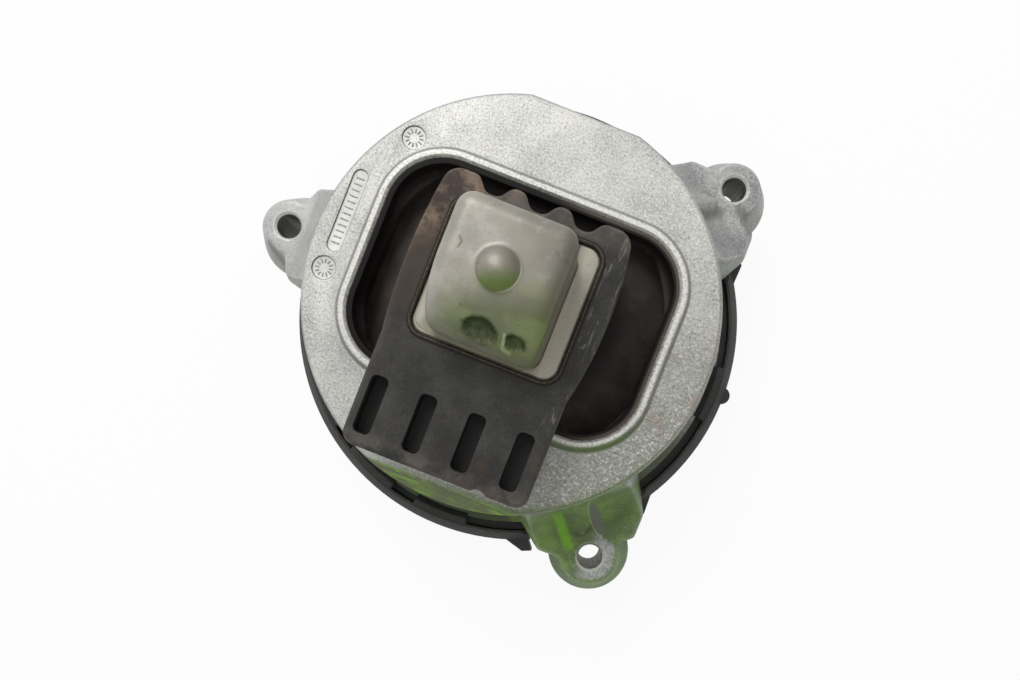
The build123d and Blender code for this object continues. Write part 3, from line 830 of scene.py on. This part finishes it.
def finish_piece(piece, finish, slot, *replaced):
    """Last step of every piece: finish, smooth shading and place in the frame."""
    piece.data.materials.clear()
    piece.data.materials.append(finish)
    piece.data.shade_smooth()
    piece.data.set_sharp_from_angle(angle=radians(40))
    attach(piece, "root")
    if replaced:
        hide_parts(*replaced)
    piece.data.calc_loop_triangles()
    print(piece.name, "has", len(piece.data.loop_triangles), "triangles")


def rounded_copy(node_name, piece_name, width, finish):
    piece = round_edges(solid_copy(node_name, piece_name), width)
    finish_piece(piece, finish, node_slots[node_name], node_name)


def dress(node_name, finish):
    """A solid whose shape is right keeps its mesh and gets a finish."""
    mesh = nodes[node_name].data
    mesh.materials.clear()
    mesh.materials.append(finish)
    print(node_name, "wears", finish.name)


node_slots = {part["node"]: part["material_slot"] for part in frame["record"]["subparts"]}
rounded_copy("stop_buffer", "rubber_buffer", 0.5, buffer_rubber)
rounded_copy("lower_housing", "moulded_pot", 0.3, black_plastic)
rounded_copy("rubber_spring", "moulded_spring", 0.3, spring_rubber)
dress("spring_insert", pressed_steel)
dress("nozzle_plate", plate_alloy)
dress("channel_plate", plate_alloy)
dress("decoupler_membrane", spring_rubber)
dress("rolling_bellows", spring_rubber)

# %% [markdown]
# ## The casting's soft ears
#
# On the real casting every web flows into its boss through wide soft hollows, while the face and its bead
# stay crisp. So the ring is trimmed out of the solid and gets a fine bevel, and each ear is cut out with a
# slice of the wall behind it, turned into even small squares and relaxed, which fills its hollows and rounds
# its ridges. The ears are a hair smaller than the solid, so that behind the wall they disappear in the ring.

# %% The ring without its ears
trim_play = 0.06
fine_steps = 512


def make_ring():
    ring = solid_copy("upper_housing", "cast_housing")
    above = face_height + 5.0
    below = foot_height - 5.0
    envelope = turned_shape("envelope", [
        (0, below),
        (flange_radius + trim_play, below),
        (flange_radius + trim_play, flange_top + trim_play),
        (ring_radius + trim_play, flange_top + trim_play),
        (ring_radius + trim_play, above),
        (0, above),
    ], fine_steps)
    combine(ring, envelope, "INTERSECT")
    return round_edges(ring, 0.45)


casting = make_ring()
print("the ring alone has", len(casting.data.vertices), "points")

# %% One ear, cut out and relaxed
boss_bottom = 21.0
hole_chamfer = 0.9
slice_start = 60.5
slice_half = 36.0
voxel = 0.62
relax_steps = 7
soft_half = 29.0
ear_inset = 0.1


def block_between(name, low, high, turn):
    """Box between two corners, turned about the main axis."""
    mesh = bpy.data.meshes.new(name)
    with opened(mesh) as shape:
        bmesh.ops.create_cube(shape, size=1.0)
        for corner in shape.verts:
            spot = [(a + b) / 2 + part * (b - a) for a, b, part in zip(low, high, corner.co)]
            corner.co = Vector(spot) * millimetre
        bmesh.ops.rotate(shape, verts=shape.verts, matrix=Matrix.Rotation(turn, 3, "Z"))
    return link_piece(name, mesh)


def remesh(piece, size):
    """Turns the piece into even small squares."""
    squares = piece.modifiers.new("squares", "REMESH")
    squares.mode = "VOXEL"
    squares.voxel_size = size * millimetre
    return bake(piece)


def relax(piece, passes, inset):
    """Evens out points, in passes of a test that picks them and a number of steps, and sinks all a hair."""
    with opened(piece.data) as shape:
        for is_picked, steps in passes:
            picked = [point for point in shape.verts if is_picked(point.co / millimetre)]
            for _ in range(steps):
                bmesh.ops.smooth_vert(
                    shape, verts=picked, factor=0.5, use_axis_x=True, use_axis_y=True, use_axis_z=True
                )
        shape.normal_update()
        for point in shape.verts:
            point.co -= point.normal * inset * millimetre


def make_ear(mount_name):
    place = Vector(mounts[mount_name]["pos_m"])
    flat_place = Vector((place.x, place.y, 0.0))
    direction = flat_place.normalized()
    reach = flat_place.length / millimetre
    ear = solid_copy("upper_housing", mount_name + "_ear")
    block = block_between(
        "ear_block", (slice_start, -slice_half, boss_bottom - 5), (reach + 30, slice_half, face_height - 1.4),
        atan2(direction.y, direction.x)
    )
    combine(ear, block, "INTERSECT")
    plug_radius = hole_radius + 1.5
    plug = turned_shape("plug", [
        (0, boss_bottom), (plug_radius, boss_bottom), (plug_radius, boss_top), (0, boss_top)
    ], 48, flat_place)
    combine(ear, plug, "UNION")
    remesh(ear, voxel)
    across = Vector((-direction.y, direction.x, 0.0))
    passes = [(lambda spot: True, 1), (lambda spot: abs(spot.dot(across)) < soft_half, relax_steps)]
    relax(ear, passes, ear_inset)
    drill = turned_shape("drill", [
        (0, boss_bottom - 2),
        (hole_radius, boss_bottom - 2),
        (hole_radius, boss_top - hole_chamfer - ear_inset),
        (hole_radius + hole_chamfer, boss_top - ear_inset),
        (hole_radius + hole_chamfer + 2, boss_top + 2),
        (0, boss_top + 2),
    ], 64, flat_place)
    combine(ear, drill, "DIFFERENCE")
    print(ear.name, "has", len(ear.data.polygons), "faces")
    return ear


# %% The whole casting
def join_into(piece, others):
    """Adds the other pieces' meshes to the first piece."""
    with opened(piece.data) as shape:
        for part in others:
            shape.from_mesh(part.data)
    for part in others:
        bpy.data.objects.remove(part)


join_into(casting, [make_ear(name) for name in ear_mounts])
finish_piece(casting, cast_aluminium, node_slots["upper_housing"], "upper_housing")

# %% [markdown]
# ## The core's soft dome
#
# The dome is smooth all over, and all round but on the right its foot runs out into the crisp plate without
# a line. So the plate and the neck are cut from a bevelled copy, and the dome is made of small squares like
# the ears. The plate beside it is raised to a slope that fades out to the right, and then relaxed.

# %% Dome and plate of the core
dome_voxel = 0.45
plate_skin = 0.3
dome_block_half = 24.0
foot_top = 9.0
foot_side = 13.0
foot_steps = 60
fill_slope = 1.7
fill_height = 7.0
fill_margins = {"left": 0.6, "front": 2.0, "back": 0.6}
fill_fade = (5.0, 13.0)


def fill_foot(dome):
    """Raises the plate beside the dome to a slope, but not at its right."""
    for point in dome.data.vertices:
        spot = point.co / millimetre
        inward = min(
            spot.x + plate_half_length - fill_margins["left"],
            spot.y + plate_half_width - fill_margins["front"],
            plate_half_width - fill_margins["back"] - spot.y,
        )
        fade = min(max((fill_fade[1] - spot.x) / (fill_fade[1] - fill_fade[0]), 0.0), 1.0)
        slope_top = plate_top + min(fill_slope * max(inward, 0.0), fill_height) * fade
        if plate_top - plate_skin < spot.z < slope_top:
            point.co.z = slope_top * millimetre


def make_dome():
    dome = solid_copy("core", "dome")
    low = (-dome_block_half, -dome_block_half, plate_top - 2.0)
    high = (dome_block_half, dome_block_half, dome_top + 5.0)
    combine(dome, block_between("dome_block", low, high, 0.0), "INTERSECT")
    remesh(dome, dome_voxel)
    fill_foot(dome)

    def at_foot(spot):
        return plate_top - plate_skin < spot.z < plate_top + foot_top and spot.x < foot_side

    relax(dome, [(lambda spot: spot.z > plate_top + 0.5, 4), (at_foot, foot_steps)], ear_inset)
    return dome


def make_cast_core():
    plate = round_edges(solid_copy("core", "cast_core"), 0.35)
    low = (-dome_block_half, -dome_block_half, core_low.z / millimetre - 1.0)
    high = (dome_block_half, dome_block_half, plate_top + 0.05)
    combine(plate, block_between("plate_block", low, high, 0.0), "INTERSECT")
    join_into(plate, [make_dome()])
    finish_piece(plate, core_aluminium, node_slots["core"], "core")


make_cast_core()

# %% [markdown]
# ## Lines and ticks
#
# A thin brown line of old sealant runs round the core's plate, and the cast pads on the face carry plain
# raised ticks. Geometry Nodes suit both: the path is a row of edges, one tree sweeps a fine round bead along
# it, and the other sets short ticks across it at even steps.

# %% Geometry Nodes helpers
section_sides = 8


def start_tree(name, inputs):
    """New tree with a geometry in and out, and named inputs."""
    tree = bpy.data.node_groups.new(name, "GeometryNodeTree")
    tree.interface.new_socket("Path", in_out="INPUT", socket_type="NodeSocketGeometry")
    for label, kind in inputs:
        tree.interface.new_socket(label, in_out="INPUT", socket_type=kind)
    tree.interface.new_socket("Shape", in_out="OUTPUT", socket_type="NodeSocketGeometry")
    return tree, tree.nodes.new("NodeGroupInput").outputs, tree.nodes.new("NodeGroupOutput")


def add_step(tree, kind, feeds, **settings):
    """New node with its settings, and its sockets fed by links or values."""
    step = tree.nodes.new(kind)
    for name, value in settings.items():
        setattr(step, name, value)
    for name, value in feeds.items():
        if isinstance(value, bpy.types.NodeSocket):
            tree.links.new(value, step.inputs[name])
        else:
            step.inputs[name].default_value = value
    return step


def add_section(tree, given):
    """The round section that both trees sweep."""
    return add_step(tree, "GeometryNodeCurvePrimitiveCircle", {
        "Resolution": section_sides, "Radius": given["Radius"]
    })


def end_tree(tree, given, result, shape):
    """Makes the shape real mesh, with its finish."""
    real = add_step(tree, "GeometryNodeRealizeInstances", {"Geometry": shape})
    done = add_step(tree, "GeometryNodeSetMaterial", {
        "Geometry": real.outputs["Geometry"], "Material": given["Finish"]
    })
    tree.links.new(done.outputs["Geometry"], result.inputs["Shape"])
    return tree


def grow(piece, tree, values):
    """Runs a tree on a path and keeps the result as a plain mesh."""
    step = piece.modifiers.new("growth", "NODES")
    step.node_group = tree
    sockets = {item.name: item.identifier for item in tree.interface.items_tree if item.in_out == "INPUT"}
    for label, value in values.items():
        step[sockets[label]] = value
    return bake(piece)


# %% A bead along a path and ticks across one
def make_bead_tree():
    tree, given, result = start_tree("bead_along_path", [
        ("Radius", "NodeSocketFloat"), ("Finish", "NodeSocketMaterial")
    ])
    curve = add_step(tree, "GeometryNodeMeshToCurve", {"Mesh": given["Path"]})
    section = add_section(tree, given)
    tube = add_step(tree, "GeometryNodeCurveToMesh", {
        "Curve": curve.outputs["Curve"], "Profile Curve": section.outputs["Curve"]
    })
    return end_tree(tree, given, result, tube.outputs["Mesh"])


def make_tick_tree():
    tree, given, result = start_tree("ticks_across_path", [
        ("Count", "NodeSocketInt"), ("Length", "NodeSocketFloat"), ("Radius", "NodeSocketFloat"),
        ("Finish", "NodeSocketMaterial")
    ])
    curve = add_step(tree, "GeometryNodeMeshToCurve", {"Mesh": given["Path"]})
    flat = add_step(tree, "GeometryNodeSetCurveNormal", {"Curve": curve.outputs["Curve"]}, mode="Z_UP")
    spots = add_step(tree, "GeometryNodeCurveToPoints", {
        "Curve": flat.outputs["Curve"], "Count": given["Count"]
    }, mode="COUNT")
    start, end = [add_step(tree, "ShaderNodeVectorMath", {
        0: (side, 0.0, 0.0), "Scale": given["Length"]
    }, operation="SCALE") for side in (-0.5, 0.5)]
    line = add_step(tree, "GeometryNodeCurvePrimitiveLine", {
        "Start": start.outputs[0], "End": end.outputs[0]
    })
    section = add_section(tree, given)
    tick = add_step(tree, "GeometryNodeCurveToMesh", {
        "Curve": line.outputs["Curve"], "Profile Curve": section.outputs["Curve"], "Fill Caps": True
    })
    placed = add_step(tree, "GeometryNodeInstanceOnPoints", {
        "Points": spots.outputs["Points"], "Rotation": spots.outputs["Rotation"],
        "Instance": tick.outputs["Mesh"],
    })
    return end_tree(tree, given, result, placed.outputs["Instances"])


bead_tree = make_bead_tree()
tick_tree = make_tick_tree()
print("trees:", bead_tree.name, tick_tree.name)

# %% Paths
corner_steps = 10


def rounded_loop(middle, half_length, half_width, corner, height):
    """Points round a rectangle with round corners."""
    points = []
    for index, (side_x, side_y) in enumerate([(1, 1), (-1, 1), (-1, -1), (1, -1)]):
        for step in range(corner_steps + 1):
            turn = (index + step / corner_steps) * pi / 2
            points.append((
                middle[0] + side_x * (half_length - corner) + corner * cos(turn),
                middle[1] + side_y * (half_width - corner) + corner * sin(turn),
                height,
            ))
    return points


def make_path(name, points, is_closed):
    mesh = bpy.data.meshes.new(name)
    edges = [(index, index + 1) for index in range(len(points) - 1)]
    if is_closed:
        edges.append((len(points) - 1, 0))
    mesh.from_pydata([Vector(point) * millimetre for point in points], edges, [])
    with opened(mesh) as shape:
        bmesh.ops.remove_doubles(shape, verts=shape.verts, dist=weld_distance)
    return link_piece(name, mesh)


# %% The line round the plate and the marks on the pads
lip_height = 80.6
lip_growth = 0.75
line_radius = 0.2
mark_radius = 0.26
pad_floor = 59.55
row_inset = 3.0
tick_count = 12
row_tick = 2.6
dial_radius = 2.3
dial_tick = 1.3


def make_ticks(name, points, is_closed, length):
    return grow(make_path(name, points, is_closed), tick_tree, {
        "Count": tick_count, "Length": length * millimetre, "Radius": mark_radius * millimetre,
        "Finish": cast_mark,
    })


line_path = make_path("plate_line", rounded_loop(
    (0, 0), plate_half_length + lip_growth, plate_half_width + lip_growth, plate_corner + lip_growth, lip_height
), True)
line = grow(line_path, bead_tree, {"Radius": line_radius * millimetre, "Finish": lip_brown})
finish_piece(line, lip_brown, node_slots["stop_buffer"])

row_half = long_pad_half[1] - row_inset
marks = make_ticks("pad_marks", [
    (long_pad[0], long_pad[1] - row_half, pad_floor), (long_pad[0], long_pad[1] + row_half, pad_floor)
], False, row_tick)
dial_rims = [rounded_loop(place, dial_radius, dial_radius, dial_radius, pad_floor) for place in round_pads]
dials = [make_ticks("dial", rim, True, dial_tick) for rim in dial_rims]
join_into(marks, dials)
finish_piece(marks, cast_mark, node_slots["upper_housing"])

# %% [markdown]
# ## Light and floor
#
# The photograph has soft light from all round with a little more from the upper left, and a white ground.
# An even world does most of it, one large lamp shapes the part, and the floor is white to the camera while
# it still takes the part's shadow.

# %% World
world_light = 0.62
seen_rays = ("Is Camera Ray", "Is Glossy Ray", "Is Transmission Ray")
world = bpy.data.worlds.new("studio")
bpy.context.scene.world = world
world.use_nodes = True
sky = world.node_tree
background = sky.nodes["Background"]
background.inputs["Color"].default_value = (1.0, 1.0, 1.0, 1.0)
ray = sky.nodes.new("ShaderNodeLightPath")
seen = ray.outputs[seen_rays[0]]
for label in seen_rays[1:]:
    either = sky.nodes.new("ShaderNodeMath")
    either.operation = "MAXIMUM"
    sky.links.new(seen, either.inputs[0])
    sky.links.new(ray.outputs[label], either.inputs[1])
    seen = either.outputs[0]
level = sky.nodes.new("ShaderNodeMapRange")
level.inputs["To Min"].default_value = world_light
level.inputs["To Max"].default_value = 1.0
sky.links.new(seen, level.inputs["Value"])
sky.links.new(level.outputs[0], background.inputs["Strength"])

# %% Lamp
light = bpy.data.lights.new("key", "AREA")
light.shape = "DISK"
light.size = 0.5
light.energy = 4.6
lamp_place = Vector((-0.42, 0.46, 0.75))
way = Vector((0.0, 0.0, face_height * millimetre)) - lamp_place
turn = way.to_track_quat("-Z", "Y").to_matrix().to_4x4()
link_piece("key", light).matrix_world = Matrix.Translation(lamp_place) @ turn
print("one lamp and an even world light the part")

# %% Floor
floor_half = 3.0
floor_white = 0.92


def make_floor():
    mesh = bpy.data.meshes.new("floor")
    corners = [(x * floor_half, y * floor_half, 0.0) for x, y in ((-1, -1), (1, -1), (1, 1), (-1, 1))]
    mesh.from_pydata(corners, [], [(0, 1, 2, 3)])
    floor = link_piece("floor", mesh)
    finish = Finish("pale_floor", Roughness=0.9, Base_Color=(0.85, 0.85, 0.85, 1.0))
    shown = reduce(Wire.above, [finish.node("LightPath", output=label) for label in seen_rays])
    glow = finish.node("Emission", sockets={"Strength": 1.0})
    matt = Wire(finish, finish.shader.outputs[0])
    both = finish.node("MixShader", sockets={0: shown * floor_white, 1: matt, 2: glow})
    finish.tree.links.new(both.socket, finish.output.inputs["Surface"])
    mesh.materials.append(finish.material)


make_floor()

# %% Colour handling
bpy.context.scene.view_settings.view_transform = "Standard"
